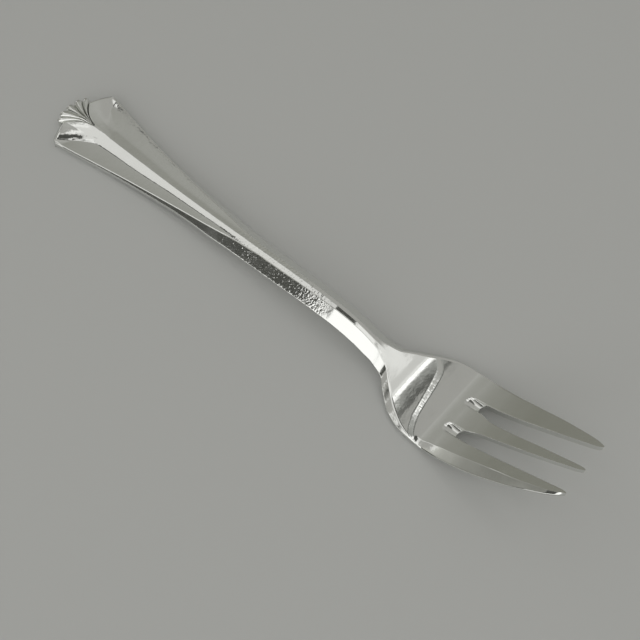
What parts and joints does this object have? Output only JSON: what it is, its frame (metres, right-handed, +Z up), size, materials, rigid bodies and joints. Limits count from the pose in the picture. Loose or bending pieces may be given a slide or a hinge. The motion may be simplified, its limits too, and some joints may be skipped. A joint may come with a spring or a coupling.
{
  "type": "pastry fork",
  "caption": "Three-tined pastry fork with a coffin-ended handle, shell ornament, raised spine, sunk side panels, ridged stem and a bevelled cutting tine on the right.",
  "frame": {"origin": "centre of the bounding box in plan, at the height of the table that the fork rests on", "axes": "+X from the handle's end to the tips of the tines, +Y to the left, +Z up out of the decorated face"},
  "size_m": [0.1474, 0.0211, 0.0189],
  "materials": {
    "silver_plate": "polished silver plate with fine wear scratches"
  },
  "bodies": {
    "root": {"shell": "silver_plate", "handle": "silver_plate", "stem": "silver_plate", "shoulder": "silver_plate", "palm": "silver_plate", "left_tine": "silver_plate", "middle_tine": "silver_plate", "right_tine": "silver_plate"}
  },
  "joints": []
}
